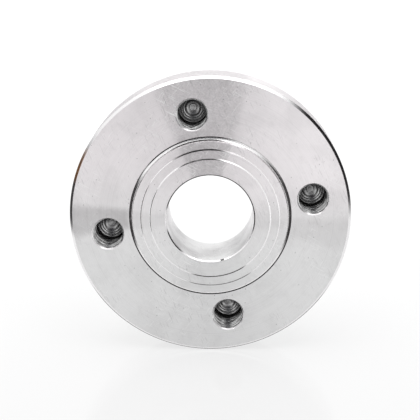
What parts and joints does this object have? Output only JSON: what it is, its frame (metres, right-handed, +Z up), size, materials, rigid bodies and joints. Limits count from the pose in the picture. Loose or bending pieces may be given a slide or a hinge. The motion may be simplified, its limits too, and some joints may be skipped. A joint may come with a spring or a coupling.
{
  "type": "lathe chuck backplate",
  "caption": "Round steel backplate for a lathe chuck: stepped register boss, through bore and tapped holes in front, studs with washers and nuts behind.",
  "frame": {"origin": "under the middle of the object's box, on the line where the rim rests on a surface", "axes": "+Y along the plate's axis from the front face to the studs, +Z up, +X to the right seen from the front"},
  "size_m": [0.1, 0.052, 0.0999],
  "materials": {
    "turned_steel": "bright, fine lathe-turned rings, light oil and handling marks",
    "stud_steel": "black oxide, satin, bright on the thread crests",
    "zinc_plate": "clear zinc plate, satin"
  },
  "bodies": {
    "plate": {"adapter_plate": "turned_steel", "stud_1": "stud_steel", "stud_2": "stud_steel", "stud_3": "stud_steel", "stud_4": "stud_steel"},
    "washer_1": {"washer_1": "zinc_plate"},
    "nut_1": {"nut_1": "zinc_plate"},
    "washer_2": {"washer_2": "zinc_plate"},
    "nut_2": {"nut_2": "zinc_plate"},
    "washer_3": {"washer_3": "zinc_plate"},
    "nut_3": {"nut_3": "zinc_plate"},
    "washer_4": {"washer_4": "zinc_plate"},
    "nut_4": {"nut_4": "zinc_plate"}
  },
  "joints": [
    {"name": "washer_1_slide", "type": "slide", "parent": "plate", "child": "washer_1", "axis": [0, 1, 0], "range_m": [0, 0.015]},
    {"name": "nut_1_spin", "type": "hinge", "parent": "washer_1", "child": "nut_1", "pos_m": [-0.02949, 0.00325, 0.07062], "axis": [0, 1, 0], "range_deg": [0, 4321]},
    {"name": "washer_2_slide", "type": "slide", "parent": "plate", "child": "washer_2", "axis": [0, 1, 0], "range_m": [0, 0.015]},
    {"name": "nut_2_spin", "type": "hinge", "parent": "washer_2", "child": "nut_2", "pos_m": [-0.02065, 0.00325, 0.02048], "axis": [0, 1, 0], "range_deg": [0, 4321]},
    {"name": "washer_3_slide", "type": "slide", "parent": "plate", "child": "washer_3", "axis": [0, 1, 0], "range_m": [0, 0.015]},
    {"name": "nut_3_spin", "type": "hinge", "parent": "washer_3", "child": "nut_3", "pos_m": [0.02949, 0.00325, 0.02932], "axis": [0, 1, 0], "range_deg": [0, 4321]},
    {"name": "washer_4_slide", "type": "slide", "parent": "plate", "child": "washer_4", "axis": [0, 1, 0], "range_m": [0, 0.015]},
    {"name": "nut_4_spin", "type": "hinge", "parent": "washer_4", "child": "nut_4", "pos_m": [0.02065, 0.00325, 0.07946], "axis": [0, 1, 0], "range_deg": [0, 4321]}
  ],
  "couplings": [
    {"joint": "nut_1_spin", "follows": "washer_1_slide", "rad_per_m": 5026.5},
    {"joint": "nut_2_spin", "follows": "washer_2_slide", "rad_per_m": 5026.5},
    {"joint": "nut_3_spin", "follows": "washer_3_slide", "rad_per_m": 5026.5},
    {"joint": "nut_4_spin", "follows": "washer_4_slide", "rad_per_m": 5026.5}
  ]
}
